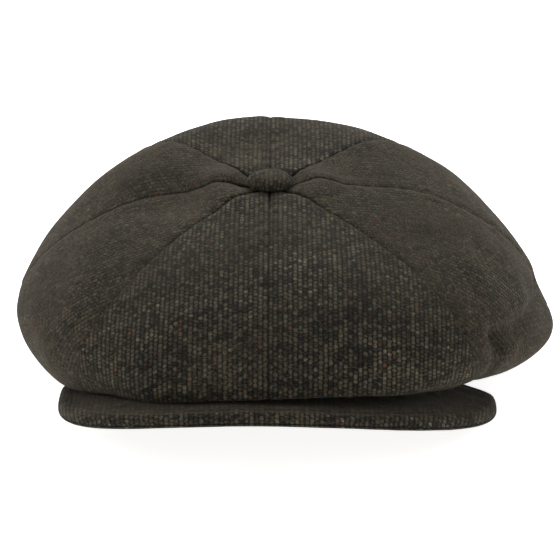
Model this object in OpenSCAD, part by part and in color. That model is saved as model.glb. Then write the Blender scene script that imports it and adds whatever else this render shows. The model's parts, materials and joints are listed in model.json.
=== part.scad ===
// Eight-panel newsboy cap with a stiff visor, a covered button, a band, a sweatband and a lining.
// Millimetres. +Z is up and the front of the cap faces -Y. The origin is the centre of the
// head opening, on the plane that the rim of the band stands on.

/* [Head opening] */
// Inside of the sweatband from side to side
head_w = 166; // [160:1:172]
// Inside of the sweatband from front to back
head_d = 202.4; // [196:0.2:208]
// Height of the band halfway along the side
band_h = 36; // [33:1:38]
// Rise of the band's top edge from the middle to the front, and its fall to the back
band_rise = 10; // [6:1:11]

/* [Crown] */
// Height of the crown at its apex, before the button pulls it down
crown_h = 91.5; // [90:0.5:95]
// How far the button pulls the cloth down
button_dip = 2.3; // [1.5:0.1:2.6]
// Longest reach of the crown from the button's axis
crown_reach = 134; // [132:1:137]
// How far the crown has slumped to the wearer's right
crown_slump = 3; // [0:0.5:4]
// How far each panel swells between its seams
panel_puff = 2; // [0:0.5:3]

/* [Layers] */
// Thickness of the wool cloth
cloth_t = 1.5; // [1.2:0.1:1.7]
// Thickness of the canvas in the band
canvas_t = 1.0; // [0.8:0.1:1.1]
// Thickness of the sweatband
sweat_t = 1.2; // [1.0:0.1:1.3]
// Thickness of the lining
lining_t = 0.8; // [0.6:0.1:1]
// Room between the crown and the lining at the apex
lining_room = 3.0; // [2.8:0.1:3.4]
// How far the lining billows outwards over the sweatband
lining_bulge = 7; // [6:0.5:8]

/* [Visor] */
// Reach of the visor to the wearer's right
visor_left_w = 103; // [99:1:104]
// Reach of the visor to the wearer's left
visor_right_w = 105.5; // [101:0.5:107]
// Front edge of the visor ahead of the middle of the head opening
visor_front = 144; // [141:1:147]
// Thickness of the covered visor
visor_t = 5.4; // [5:0.1:5.6]
// Height of the top of the visor's front edge
visor_edge_z = 31.5; // [31:0.25:33]
// Radius of the visor's arch
arch_r = 402; // [390:1:420]
// Rise of the visor from the head to its front edge, degrees
visor_tilt = 8; // [7:0.5:9]

/* [Button] */
// Diameter of the covered button
button_d = 23; // [20:0.5:24]
// Height of the covered button
button_h = 6.6; // [5:0.1:6.8]
// Diameter of the shank
shank_d = 2.8; // [2.4:0.1:3]

/* [Hidden] */

fit_gap = 0.15;             // room between two layers or two sewn edges
apex = [-crown_slump, 0];   // the button's axis
panel_count = 8;
panel_angle = 360 / panel_count;
first_gore = 11;            // place of the first lining quarter in NODES

// Half sizes of the oval faces, [side, front], from the head outwards
sweat_in = [head_w / 2, head_d / 2];
sweat_out = sweat_in + [sweat_t, sweat_t];
canvas_in = sweat_out + [fit_gap, fit_gap];
canvas_out = canvas_in + [canvas_t, canvas_t];
band_in = canvas_out + [fit_gap, fit_gap];
band_out = band_in + [cloth_t, cloth_t];

// The crown's shape in eight directions: front, front right, right, rear right, rear, rear
// left, left, front left. Reaches are shares of crown_reach and heights are millimetres.
reach_share = [0.962, 1.00, 1.00, 0.969, 1.003, 0.909, 0.932, 0.951];
fold_share = [0.89, 0.85, 0.87, 0.85, 0.835, 0.82, 0.75, 0.84];
widest_z = [32, 39, 27, 45, 54.5, 42.5, 32, 34];
fold_z = [29.5, 14, 11, 15, 15, 15, 11, 11];
fullness = [1.5, 1.85, 2.2, 3.7, 3.25, 3.55, 1.1, 1.6];
back_rise = [0, 0, 0, 8.5, 11.5, 9, 2.5, 0];

top_steps = 12;
fold_steps = 5;
panel_cols = 6;
shank_hole_r = 3.2;         // hole that the panels leave at the apex
dip_reach = 34;             // radius at which the button's pull has mostly gone
band_room = 0.35;           // between the band and the faceted edge of the panels

// Visor
visor_back_y = -61;         // where the visor is widest
horn_depth = 20;            // how far the horns reach back from there
visor_left_square = 3;      // squareness of the outline on either side, 2 is an ellipse
visor_right_square = 2.6;
arch_x = -9;                // crest of the arch, from the middle
hinge_y = -46;              // ends of the seam that the visor flexes on
visor_clear = 0.6;          // room under the crown's front fold
board_inset = 2.3;          // board's edge inside the covers' edge
top_z = 100;                // above everything
lining_start = 0.04;        // step at which the lining begins, beside the shank's washer
label_room = 0.5;           // between the lining and its label

// Smooth closed curve through equally spaced values, at an angle from the front
function around(v, th) =
    let (n = len(v))
    let (t = (th + 360) % 360 / 360 * n)
    let (i = floor(t))
    let (f = t - i)
    let (a = v[(i + n - 1) % n])
    let (b = v[i % n])
    let (c = v[(i + 1) % n])
    let (d = v[(i + 2) % n])
    b + f * (c - a) / 2 + f * f * (2 * a - 5 * b + 4 * c - d) / 2 + f * f * f * (3 * b - a - 3 * c + d) / 2;

// Distance from the button's axis to an oval round the origin, at an angle from the front
function oval_reach(th, half) =
    let (d = [sin(th) / half[0], -cos(th) / half[1]])
    let (p = [apex[0] / half[0], apex[1] / half[1]])
    (sqrt(pow(d * p, 2) - (d * d) * (p * p - 1)) - d * p) / (d * d);

// Height of the band's top edge over a point
function band_top(y) = band_h - band_rise * y / band_out[1];

// Height of the visor's top face over a point
function visor_top(x, y) =
    visor_edge_z - tan(visor_tilt) * (y + visor_front)
    - (arch_r - sqrt(pow(arch_r, 2) - pow(x - arch_x, 2))) / cos(visor_tilt);

// One point of the crown, t inside its outer face. step runs from 0 at the apex to 1 at the
// widest line, 2 at the bottom of the fold and 3 at the band, where end_up lifts that end.
function crown_point(th, step, t, end_up) =
    let (reach = crown_reach * around(reach_share, th) - t)
    let (fold = crown_reach * around(fold_share, th))
    let (wide_z = around(widest_z, th))
    let (low_z = around(fold_z, th) + t)
    let (full = around(fullness, th))
    let (root = oval_reach(th, band_out + [band_room, band_room]))
    let (puff = panel_puff * pow(abs(sin(180 * th / panel_angle)), 0.8))
    let (down = 90 * min(max(step - 1, 0), 1))
    let (back = 90 * max(step - 2, 0))
    let (u = sin(90 * min(step, 1)))
    let (out = pow(u, full / 2))
    let (up = sqrt(max(1 - out * out, 0)))
    let (top_r = reach * u + puff * out)
    let (top_h = wide_z + (crown_h - t - wide_z) * up
        + around(back_rise, th) * pow(sin(180 * pow(u, 1.3)), 2) + puff * out * up
        - button_dip * exp(-pow(top_r / dip_reach, 2)))
    let (low_r = fold + (reach - fold + puff) * cos(down))
    let (low_h = wide_z - (wide_z - low_z) * sin(down))
    let (in_r = fold - (fold - root) * sin(back))
    let (y_end = apex[1] - root * cos(th))
    let (in_h = low_z + (band_top(y_end) + end_up - low_z) * (1 - cos(back)))
    let (r = step <= 1 ? top_r : step <= 2 ? low_r : in_r)
    let (h = step <= 1 ? top_h : step <= 2 ? low_h : in_h)
    let (x = apex[0] + r * sin(th))
    let (y = apex[1] - r * cos(th))
    let (h_min = y < hinge_y && step > 1 ? visor_top(x, y) + visor_clear + t : 0)
    [x, y, max(h, h_min)];

// One point of the lining, t inside the crown's outer face: a dome from the apex, at step 0, to
// the top of the sweatband, at step 1, that billows outwards between them
function lining_point(th, step, t) =
    let (inset = t - cloth_t - lining_room)
    let (root = oval_reach(th, sweat_out - [inset, inset]))
    let (low_z = band_top(apex[1] - root * cos(th)) + fit_gap)
    let (u = sin(90 * step))
    let (out = pow(u, around(fullness, th) / 2))
    let (up = sqrt(max(1 - out * out, 0)))
    let (r = root * u + 2 * lining_bulge * out * up)
    [apex[0] + r * sin(th), apex[1] - r * cos(th), low_z + (crown_h - button_dip - t - low_z) * up];

// Step along the crown at which its radius from the axis is the shank hole's
function first_step(th, t) = asin(shank_hole_r / (crown_reach * around(reach_share, th) - t)) / 90;

function steps_of(first) = concat(
    [for (i = [0 : top_steps]) first + (1 - first) * i / top_steps],
    [for (i = [1 : 2 * fold_steps]) 1 + i / fold_steps]
);

// Angle that leaves half a gap between a point at radius r and its seam, for a column of cols
function seam_room(r, col, cols) = asin(fit_gap / 2 / r) * (1 - 2 * col / cols);

// Grid of points of the crown between two seams, each edge half a gap inside its seam
function crown_grid(from, to, cols, t, end_up) = [
    for (row = [0 : top_steps + 2 * fold_steps]) [
        for (col = [0 : cols])
            let (th = from + (to - from) * col / cols)
            let (step = steps_of(first_step(th, t))[row])
            let (p = crown_point(th, step, t, end_up))
            let (r = norm([p[0] - apex[0], p[1] - apex[1]]))
            crown_point(th + seam_room(r, col, cols), step, t, end_up)
    ]
];

// Grid of points of the lining between two angles and two steps, or its seams
function lining_grid(from, to, cols, first, last, rows, t) = [
    for (row = [0 : rows]) [
        for (col = [0 : cols])
            let (th = from + (to - from) * col / cols)
            let (step = first + (last - first) * row / rows)
            let (p = lining_point(th, step, t))
            let (r = norm([p[0] - apex[0], p[1] - apex[1]]))
            lining_point(th + seam_room(r, col, cols), step, t)
    ]
];

// Closed shell between an outer and an inner grid of points
module shell(outer, inner) {
    rows = len(outer);
    cols = len(outer[0]);
    n = rows * cols;
    points = [for (g = [outer, inner]) for (row = g) for (p = row) p];
    skin = [
        for (i = [0 : rows - 2]) for (j = [0 : cols - 2])
            let (a = i * cols + j)
            each [[a, a + 1, a + cols + 1], [a, a + cols + 1, a + cols]]
    ];
    back = [for (f = skin) [f[0] + n, f[2] + n, f[1] + n]];
    rim = concat(
        [for (j = [cols - 1 : -1 : 1]) j],
        [for (i = [0 : rows - 2]) i * cols],
        [for (j = [0 : cols - 2]) (rows - 1) * cols + j],
        [for (i = [rows - 1 : -1 : 1]) i * cols + cols - 1]
    );
    wall = [
        for (k = [0 : len(rim) - 1])
            let (a = rim[k])
            let (b = rim[(k + 1) % len(rim)])
            each [[a, b, b + n], [a, b + n, a + n]]
    ];
    polyhedron(points, concat(skin, back, wall));
}

// Panel between two seams of the crown, numbered round from the front seam to the right
module crown_panel(k) {
    from = panel_angle * k;
    to = panel_angle * (k + 1);
    shell(crown_grid(from, to, panel_cols, 0, 0), crown_grid(from, to, panel_cols, cloth_t, cloth_t));
}

// Quarter of the lining, numbered round from the front seam to the right
module lining_gore(k) {
    from = 2 * panel_angle * k;
    to = 2 * panel_angle * (k + 1);
    t = cloth_t + lining_room;
    shell(
        lining_grid(from, to, 2 * panel_cols, lining_start, 1, top_steps, t),
        lining_grid(from, to, 2 * panel_cols, lining_start, 1, top_steps, t + lining_t)
    );
}

function oval(half) = [for (a = [0 : 3 : 357]) [half[0] * cos(a), half[1] * sin(a)]];

// Upright oval strip. Its foot is lifted to clear the visor's seam and its top slopes.
module oval_strip(inner, outer, foot, below_top) {
    difference() {
        translate([0, 0, foot]) linear_extrude(top_z) difference() {
            polygon(oval(outer));
            polygon(oval(inner));
        }
        translate([0, 0, band_top(0) - below_top]) rotate([-atan(band_rise / band_out[1]), 0, 0])
            translate([-150, -150, 0]) cube([300, 300, 2 * top_z]);
        intersection() {
            visor_cylinder(arch_r - visor_t + foot, 300);
            translate([-150, -150 + hinge_y, -1]) cube([300, 150, top_z]);
        }
    }
}

// Cylinder along the visor's arch, running front to back
module visor_cylinder(r, l) {
    rise = arch_r / cos(visor_tilt);
    translate([arch_x, -visor_front, visor_edge_z - rise])
        rotate([90 - visor_tilt, 0, 0]) translate([0, 0, -l / 2]) cylinder(r = r, h = l, $fn = 180);
}

// Outline of the visor seen from above: a squarish front curve and two short round horns
function visor_outline(inset) =
    let (l = visor_front + visor_back_y - inset)
    concat(
        [for (a = [-90 : 5 : 90])
            let (w = (a < 0 ? visor_left_w : visor_right_w) - inset)
            let (square = a < 0 ? visor_left_square : visor_right_square)
            [w * sign(sin(a)) * pow(abs(sin(a)), 2 / square), visor_back_y - l * pow(cos(a), 2 / square)]],
        [for (a = [10 : 10 : 170])
            let (w = (a > 90 ? visor_left_w : visor_right_w) - inset)
            [w * cos(a), visor_back_y + (horn_depth - inset) * sin(a)]]
    );

// Part of the visor's thickness, from one depth under its top face to another
module visor_layer(from, to, inset) {
    difference() {
        intersection() {
            difference() {
                visor_cylinder(arch_r - from, 400);
                visor_cylinder(arch_r - to, 402);
            }
            translate([0, 0, -2]) linear_extrude(50) polygon(visor_outline(inset));
        }
        translate([0, 0, -5]) linear_extrude(60) polygon(oval(band_out + [0.3 + inset, 0.3 + inset]));
    }
}

module visor_board() {
    color("dimgray") visor_layer(cloth_t + fit_gap, visor_t - cloth_t - fit_gap, board_inset + fit_gap);
}

module visor_top_cover() {
    color([0.33, 0.31, 0.27]) difference() {
        visor_layer(0, visor_t / 2 - fit_gap / 2, 0);
        visor_layer(cloth_t, visor_t / 2 + 1, board_inset);
    }
}

module visor_under_cover() {
    color([0.30, 0.28, 0.25]) difference() {
        visor_layer(visor_t / 2 + fit_gap / 2, visor_t, 0);
        visor_layer(visor_t / 2 - 1, visor_t - cloth_t, board_inset);
    }
}

module outer_band() {
    color([0.30, 0.28, 0.25]) oval_strip(band_in, band_out, 0, fit_gap);
}

module band_stiffener() {
    color("ivory") oval_strip(canvas_in, canvas_out, 1.2, 1);
}

module sweatband() {
    color([0.16, 0.14, 0.13]) oval_strip(sweat_in, sweat_out, 1, 0.2);
}

// Quarter of an ellipse from the base at radius r to the axis at height h, with its base at z
function dome_arc(r, h, z) = [for (a = [0 : 10 : 90]) [r * cos(a), z + h * sin(a)]];

function reversed(v) = [for (i = [len(v) - 1 : -1 : 0]) v[i]];

button_z = crown_h - button_dip + 1;  // bottom of the covered button
cover_r = button_d / 2;
shell_z = 0.85;                     // shell's and back plate's foot above the cover's
shell_r = cover_r - 1.1;
shell_h = button_h - shell_z - 1.1;
shell_t = 0.5;
plate_t = 0.6;
washer_top = crown_h - button_dip - cloth_t - 1;
washer_t = 0.7;
head_t = 0.7;

module on_apex() {
    translate([apex[0], apex[1], button_z]) children();
}

module button_cover() {
    color([0.26, 0.25, 0.22]) on_apex() rotate_extrude($fn = 72) polygon(concat(
        dome_arc(cover_r, button_h, 0),
        reversed(dome_arc(cover_r - 1, button_h - 1.75, 0.75)),
        [[cover_r - 2.9, 0.75], [cover_r - 2.9, 0]]
    ));
}

module button_shell() {
    color("silver") on_apex() rotate_extrude($fn = 72) polygon(concat(
        dome_arc(shell_r, shell_h, shell_z),
        reversed(dome_arc(shell_r - shell_t, shell_h - shell_t, shell_z))
    ));
}

module button_back_plate() {
    color("gainsboro") on_apex() translate([0, 0, shell_z]) difference() {
        cylinder(d = 2 * (shell_r - shell_t - 0.3), h = plate_t, $fn = 72);
        translate([0, 0, -1]) cylinder(d = shank_d + 0.1, h = 3, $fn = 36);
    }
}

module button_shank() {
    foot = washer_top - washer_t - 0.2 - head_t - button_z;
    collar = shell_z + plate_t + 0.1;
    color("lightgray") on_apex() union() {
        translate([0, 0, foot]) cylinder(d = shank_d, h = collar + 0.6 - foot, $fn = 36);
        translate([0, 0, foot]) cylinder(d = 5.2, h = head_t, $fn = 36);
        translate([0, 0, collar]) cylinder(d = 6, h = 0.6, $fn = 36);
    }
}

module button_washer() {
    color("gray") translate([apex[0], apex[1], washer_top - washer_t]) difference() {
        cylinder(d = 9, h = washer_t, $fn = 48);
        translate([0, 0, -1]) cylinder(d = shank_d + 0.4, h = 3, $fn = 36);
    }
}

// Blank woven tab on the back of the sweatband
module size_tab() {
    color("whitesmoke") translate([-7, sweat_in[1] - 1.1, 6]) cube([14, 0.6, 20]);
}

// Blank woven patch on the lining, behind the button
module lining_label() {
    t = cloth_t + lining_room + lining_t + label_room;
    color("antiquewhite") shell(
        lining_grid(156, 204, 6, 0.3, 0.48, 4, t),
        lining_grid(156, 204, 6, 0.3, 0.48, 4, t + 0.6)
    );
}

module wool_panel(k) {
    color(k % 2 == 0 ? [0.34, 0.32, 0.29] : [0.31, 0.29, 0.26]) crown_panel(k);
}

module satin_gore(k) {
    color(k % 2 == 0 ? [0.20, 0.19, 0.20] : [0.23, 0.22, 0.23]) lining_gore(k);
}

for (k = [0 : panel_count - 1]) wool_panel(k);
outer_band();
band_stiffener();
sweatband();
for (k = [0 : 3]) satin_gore(k);
button_cover();
button_shell();
button_back_plate();
button_shank();
button_washer();
visor_board();
visor_top_cover();
visor_under_cover();
size_tab();
lining_label();
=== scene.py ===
import json
import math
import bpy
import numpy as np
from numpy import concatenate as join, linspace
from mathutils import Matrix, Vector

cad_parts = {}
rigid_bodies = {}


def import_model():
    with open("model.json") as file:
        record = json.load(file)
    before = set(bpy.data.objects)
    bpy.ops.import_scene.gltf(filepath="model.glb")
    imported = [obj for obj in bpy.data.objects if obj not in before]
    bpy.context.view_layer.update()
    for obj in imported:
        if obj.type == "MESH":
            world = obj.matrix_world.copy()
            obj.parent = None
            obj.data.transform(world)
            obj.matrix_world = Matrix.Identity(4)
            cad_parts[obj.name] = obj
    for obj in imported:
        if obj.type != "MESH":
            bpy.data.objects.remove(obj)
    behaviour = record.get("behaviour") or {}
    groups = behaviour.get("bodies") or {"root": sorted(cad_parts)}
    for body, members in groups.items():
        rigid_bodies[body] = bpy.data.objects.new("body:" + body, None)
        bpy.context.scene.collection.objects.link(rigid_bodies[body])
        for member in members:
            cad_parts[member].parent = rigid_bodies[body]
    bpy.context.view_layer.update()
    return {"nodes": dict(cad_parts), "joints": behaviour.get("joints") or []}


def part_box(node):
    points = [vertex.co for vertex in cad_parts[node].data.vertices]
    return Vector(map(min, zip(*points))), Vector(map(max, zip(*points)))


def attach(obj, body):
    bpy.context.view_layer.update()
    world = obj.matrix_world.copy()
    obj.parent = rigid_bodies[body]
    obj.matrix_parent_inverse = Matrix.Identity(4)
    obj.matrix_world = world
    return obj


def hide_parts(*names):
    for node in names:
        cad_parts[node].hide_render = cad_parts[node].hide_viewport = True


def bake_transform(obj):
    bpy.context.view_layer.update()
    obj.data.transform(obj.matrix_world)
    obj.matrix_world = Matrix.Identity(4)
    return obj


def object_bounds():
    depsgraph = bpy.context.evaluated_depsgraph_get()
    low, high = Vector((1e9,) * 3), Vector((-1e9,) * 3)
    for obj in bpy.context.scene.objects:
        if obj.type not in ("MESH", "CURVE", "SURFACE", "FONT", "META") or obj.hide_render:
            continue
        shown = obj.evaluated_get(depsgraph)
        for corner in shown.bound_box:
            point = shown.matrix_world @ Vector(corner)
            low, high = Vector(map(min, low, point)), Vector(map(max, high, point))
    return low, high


# Newsboy cap: cloth panels, visor, button and insides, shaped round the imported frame.
# Shapes are worked out in millimetres and written to the meshes in metres.

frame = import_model()
nodes = frame["nodes"]
mm = 0.001
print("frame loaded:", len(nodes), "nodes")


def boxOf(node):
    # Both corners of a node's box, in millimetres
    low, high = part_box(node)
    return np.array(low) / mm, np.array(high) / mm


def halfSizes(node):
    # Half of a node's width and depth: (high - low) / 2
    low, high = boxOf(node)
    return (high[:2] - low[:2]) / 2


buttonLow, buttonHigh = boxOf("button_cover")
visorLow, visorHigh = boxOf("visor_top_cover")
bandHalf = halfSizes("outer_band")
sweatHalf = halfSizes("sweatband")
apex = (buttonLow[:2] + buttonHigh[:2]) / 2  # the button's axis

crown = {
    "top": buttonLow[2] + 1.3,  # apex, before the button pulls the cloth down
    "dip": 2.3, "dipReach": 34.0, "reach": boxOf("panel_side_front_right")[1][0] - apex[0] - 0.7,
    # front, front right, right, rear right, rear, rear left, left, front left
    "reachShare": [0.964, 0.995, 1.00, 0.966, 1.01, 0.909, 0.932, 0.935],
    "foldShare": [0.89, 0.85, 0.87, 0.85, 0.835, 0.82, 0.75, 0.84],
    "widestZ": [32.5, 33.5, 26, 45, 56.5, 38, 31, 29], "foldZ": [29.5, 19, 11, 15, 15, 15, 11, 11],
    "fullness": [1.5, 1.62, 2.5, 3.55, 3.15, 3.6, 1.37, 1.38],
    "backRise": [0, -0.8, 3, 8.5, 11.5, 9, 5, -0.5], "ring": [0, 2, 4, 2, 1, 2, 4.5, 3],
    "ringAt": 25.0, "ringWidth": 9.5, "under": 0.4,
    "clearOf": 12.4,  # radius outside which the cloth may rise again, and how steeply
    "ceilingSlope": 1.2, "puff": 1.5, "hole": 3.2, "cloth": 1.5, "probe": 0.004, "bandMiddle": 36.0,
    "bandRise": 10.0, "rows": (150, 46, 26), "columns": 96,
}

seam = {
    "groove": 0.45,  # depth of the pressed seam
    "grooveWidth": 0.8, "lineWidth": 0.5, "allowance": 8.0, "tuck": 0.7, "tuckReach": 24.0,
    "low": [0.9, 0.3, 0.6, 0.7, 0.8, 0.7, 0.5, 0.3],  # share of the depth left at the bottom of each
    "ridge": 0.26, "ridgeAt": 4.6, "ridgeWidth": 2.4, "pucker": 0.16, "puckerPitch": 9.5,
    "puckerWidth": 7.0, "fadeFrom": 35.0, "fadeOver": 60.0,
}

petals = {"lift": 0.8, "at": 19.0, "spread": 8.0}

# Waves of the soft cloth, each (height, wavelength, seed), calmer near the button
drape = {"waves": [(0.75, 62, 4), (0.22, 21, 9)], "calmRadius": 50.0, "least": 0.25}

# How felted the cloth looks, 0 to 1, on the front and back pairs of panels, the side pairs and the visor
felted = {"fore": 0.25, "side": 0.62, "vary": 0.15, "wavelength": 50, "seed": 71, "visor": 0.4}

# The soft side gives way from a radius outwards and as far as a step of the underside, both fading in
softSide = {"from": 60.0, "over": 40.0, "lastStep": 2.4, "fade": 0.8, "radius": 125.0}

# Dents and swells pushed into it: angle from the front, height, half widths, push outwards
dents = [
    {"angle": 84, "z": 20, "wide": 19, "tall": 11.5, "push": 7.0},
    {"angle": 250, "z": 14, "wide": 26, "tall": 9, "push": -2.0},
]
# Troughs from one (angle, height) to another
creases = [
    {"start": (92, 37), "end": (54, 41), "depth": 3.2, "width": 4.6},
    {"start": (54, 41), "end": (50, 18), "depth": 2.4, "width": 4.6},
]

visor = {
    "left": -visorLow[0], "right": visorHigh[0], "front": -visorLow[1], "edgeZ": visorHigh[2],
    "backY": -61.0, "horn": 20.0, "leftSquare": 3.0, "rightSquare": 2.25, "archRadius": 430.0,
    "archX": -9.0, "tilt": math.radians(8), "thickness": 6.2, "cloth": 1.3,
    "hingeY": frame["joints"][0]["pos_m"][1] / mm, "clear": 0.6, "restRound": 1.4, "restFade": 12.0,
    "columns": 300, "rows": 60, "edgeRows": 16, "fineRear": 400, "fineFront": 800, "fineBand": 2000,
    "bandGap": 0.3,
    "shade": 0.85,  # painted shadow under the crown's front
    "shadeReach": 3.5, "shadeFade": 5.5,
    "waves": [(0.30, 46, 41), (0.12, 13, 43)],  # height, wavelength, seed
    "calmEdge": 4.0, "grooveWidth": 0.8,
    "top": {"round": 3.6, "tall": 4.4, "groove": 0.35, "grooveAt": 7.0},
    "under": {"round": 1.6, "tall": 1.4, "groove": 0.3, "grooveAt": 6.0}, "boardInset": 2.6,
    "boardAhead": 1.0, "boardRows": 40, "boardTop": 1.9, "boardThick": 2.1,
}


def around(values, angle):
    # Catmull-Rom curve through equally spaced values round the cap, at an angle from the front
    values = np.asarray(values, float)
    t = np.mod(angle / (2 * np.pi), 1.0) * len(values)
    i = np.floor(t).astype(int)
    f = t - i
    a, b, c, d = (values[(i + k) % len(values)] for k in (-1, 0, 1, 2))
    return b + f * (c - a) / 2 + f**2 * (2 * a - 5 * b + 4 * c - d) / 2 + f**3 * (3 * b - a - 3 * c + d) / 2


def ovalReach(angle, half):
    # Positive root of |apex + r * direction| = 1 in the oval's own units
    dx, dy = np.sin(angle) / half[0], -np.cos(angle) / half[1]
    px, py = apex[0] / half[0], apex[1] / half[1]
    dd, dp, pp = dx * dx + dy * dy, dx * px + dy * py, px * px + py * py
    return (np.sqrt(dp * dp - dd * (pp - 1)) - dp) / dd


def bandTop(y):
    # Height of the band's top: a line sloping down to the back
    return crown["bandMiddle"] - crown["bandRise"] * y / bandHalf[1]


def visorTop(x, y):
    # Arch across the visor, tilted up towards its front edge
    sag = visor["archRadius"] - np.sqrt(visor["archRadius"] ** 2 - (x - visor["archX"]) ** 2)
    return visor["edgeZ"] - math.tan(visor["tilt"]) * (y + visor["front"]) - sag / math.cos(visor["tilt"])


def fromAxis(points):
    # Distance to the button's axis: sqrt(x^2 + y^2) about it
    return np.hypot(points[..., 0] - apex[0], points[..., 1] - apex[1])


def softWaves(points, wavelength, seed, count=9):
    # Sum of plane sine waves with seeded directions and phases, about -1 to 1
    rng = np.random.default_rng(seed)
    direction = rng.normal(size=(count, 3))
    direction /= np.linalg.norm(direction, axis=1, keepdims=True)
    length = wavelength * rng.uniform(0.7, 1.4, count)
    phase = rng.uniform(0, 2 * np.pi, count)
    return np.sin(points @ direction.T * (2 * np.pi / length) + phase).sum(-1) / math.sqrt(count)


def crownSurface(angle, step, puffed=True):
    # Superellipse from the apex to the widest line (step 0..1), quarter ellipse under the fold (1..2),
    # quarter ellipse back up to the band (2..3)
    reach = crown["reach"] * around(crown["reachShare"], angle)
    fold = crown["reach"] * around(crown["foldShare"], angle)
    wideZ = around(crown["widestZ"], angle)
    lowZ = around(crown["foldZ"], angle)
    full = around(crown["fullness"], angle)
    rise = around(crown["backRise"], angle)
    root = ovalReach(angle, bandHalf)
    puff = crown["puff"] * np.abs(np.sin(4 * angle)) ** 0.8 * puffed
    u = np.sin(np.clip(step, 0, 1) * np.pi / 2)
    down = np.clip(step - 1, 0, 1) * np.pi / 2
    back = np.clip(step - 2, 0, 1) * np.pi / 2
    out, up = u ** (full / 2), np.sqrt(np.clip(1 - u**full, 0, 1))
    topR = reach * u + puff * out
    topZ = wideZ + (crown["top"] - wideZ) * up + rise * np.sin(np.pi * u**1.3) ** 2 + puff * out * up
    topZ = topZ - crown["dip"] * np.exp(-((topR / crown["dipReach"]) ** 2))
    topZ = topZ + around(crown["ring"], angle) * np.exp(-(((topR - crown["ringAt"]) / crown["ringWidth"]) ** 2))
    lowR = fold + (reach - fold + puff) * np.cos(down)
    lowH = wideZ - (wideZ - lowZ) * np.sin(down)
    inR = fold - (fold - root) * np.sin(back)
    endZ = bandTop(apex[1] - root * np.cos(angle))
    inH = lowZ + (endZ - lowZ) * (1 - np.cos(back))
    r = np.where(step <= 1, topR, np.where(step <= 2, lowR, inR))
    z = np.where(step <= 1, topZ, np.where(step <= 2, lowH, inH))
    x, y = apex[0] + r * np.sin(angle), apex[1] - r * np.cos(angle)
    restZ = visorTop(x, y) + visor["clear"]
    resting = 0.5 * (z + restZ + np.sqrt((z - restZ) ** 2 + visor["restRound"]))  # smooth maximum
    ahead = np.clip((visor["hingeY"] - y) / visor["restFade"], 0, 1) * (step > 0.9)
    z = z + (resting - z) * ahead
    return np.stack([x, y, z], -1)


def surfaceNormal(angle, step):
    # Cross product of central differences along the two parameters of the crown without its puff
    h = crown["probe"]
    round_ = crownSurface(angle + h, step, puffed=False) - crownSurface(angle - h, step, puffed=False)
    down = crownSurface(angle, step + h, puffed=False) - crownSurface(angle, step - h, puffed=False)
    n = np.cross(down, round_)
    return n / np.maximum(np.linalg.norm(n, axis=-1, keepdims=True), 1e-9)


def segmentDistance(px, py, start, end):
    # Distance from a point to start + t * (end - start), where t is its projection kept from 0 to 1
    ax, ay, bx, by = *start, *end
    t = np.clip(((px - ax) * (bx - ax) + (py - ay) * (by - ay)) / ((bx - ax) ** 2 + (by - ay) ** 2), 0, 1)
    return np.hypot(px - ax - t * (bx - ax), py - ay - t * (by - ay))


def seamKept(angle, radius):
    # Share of a seam's depth that is left at a radius, falling to its own share at the bottom
    return 1 + (around(seam["low"], angle) - 1) * np.clip((radius - seam["fadeFrom"]) / seam["fadeOver"], 0, 1)


def clothRelief(angle, points, along):
    # Sum of seam grooves and ridges, swelling round the button and slow waves
    radius = fromAxis(points)
    turned = np.abs(np.mod(angle + np.pi / 8, np.pi / 4) - np.pi / 8)
    side = radius * turned  # distance to the nearest seam
    deep = np.exp(-((radius / seam["tuckReach"]) ** 2))
    kept = seamKept(angle, radius)
    push = -(seam["groove"] + seam["tuck"] * deep) * kept * np.exp(-((side / seam["grooveWidth"]) ** 2))
    push += seam["ridge"] * kept * np.exp(-(((side - seam["ridgeAt"]) / seam["ridgeWidth"]) ** 2)) * (1 - deep)
    wrinkle = np.sin(2 * np.pi * along / seam["puckerPitch"] + 3 * angle)
    push += seam["pucker"] * wrinkle * np.exp(-((side / seam["puckerWidth"]) ** 2))
    lobe = np.abs(np.sin(4 * angle)) ** 0.7
    push += petals["lift"] * lobe * np.exp(-(((radius - petals["at"]) / petals["spread"]) ** 2))
    slow = np.clip(radius / drape["calmRadius"], drape["least"], 1)
    for height, wavelength, seed in drape["waves"]:
        push = push + height * slow * softWaves(points, wavelength, seed)
    return push


def sidePush(angle, step, points):
    # Sum of Gaussian swells and of Gaussian troughs along straight creases, level and away from the axis
    radius = fromAxis(points)
    outer = np.clip((radius - softSide["from"]) / softSide["over"], 0, 1)
    outer = outer * np.clip((softSide["lastStep"] - step) / softSide["fade"], 0, 1)
    degrees = np.degrees(angle)
    push = 0 * radius
    for d in dents:
        away = (np.mod(degrees - d["angle"] + 180, 360) - 180) / d["wide"]
        push += d["push"] * np.exp(-(away**2) - ((points[..., 2] - d["z"]) / d["tall"]) ** 2) * outer
    for c in creases:
        scale = np.pi / 180 * softSide["radius"]  # millimetres round the crown for a degree
        start, end = ((c[at][0] * scale, c[at][1]) for at in ("start", "end"))
        dist = segmentDistance(degrees * scale, points[..., 2], start, end)
        push -= c["depth"] * np.exp(-((dist / c["width"]) ** 2)) * outer
    return push


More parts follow.
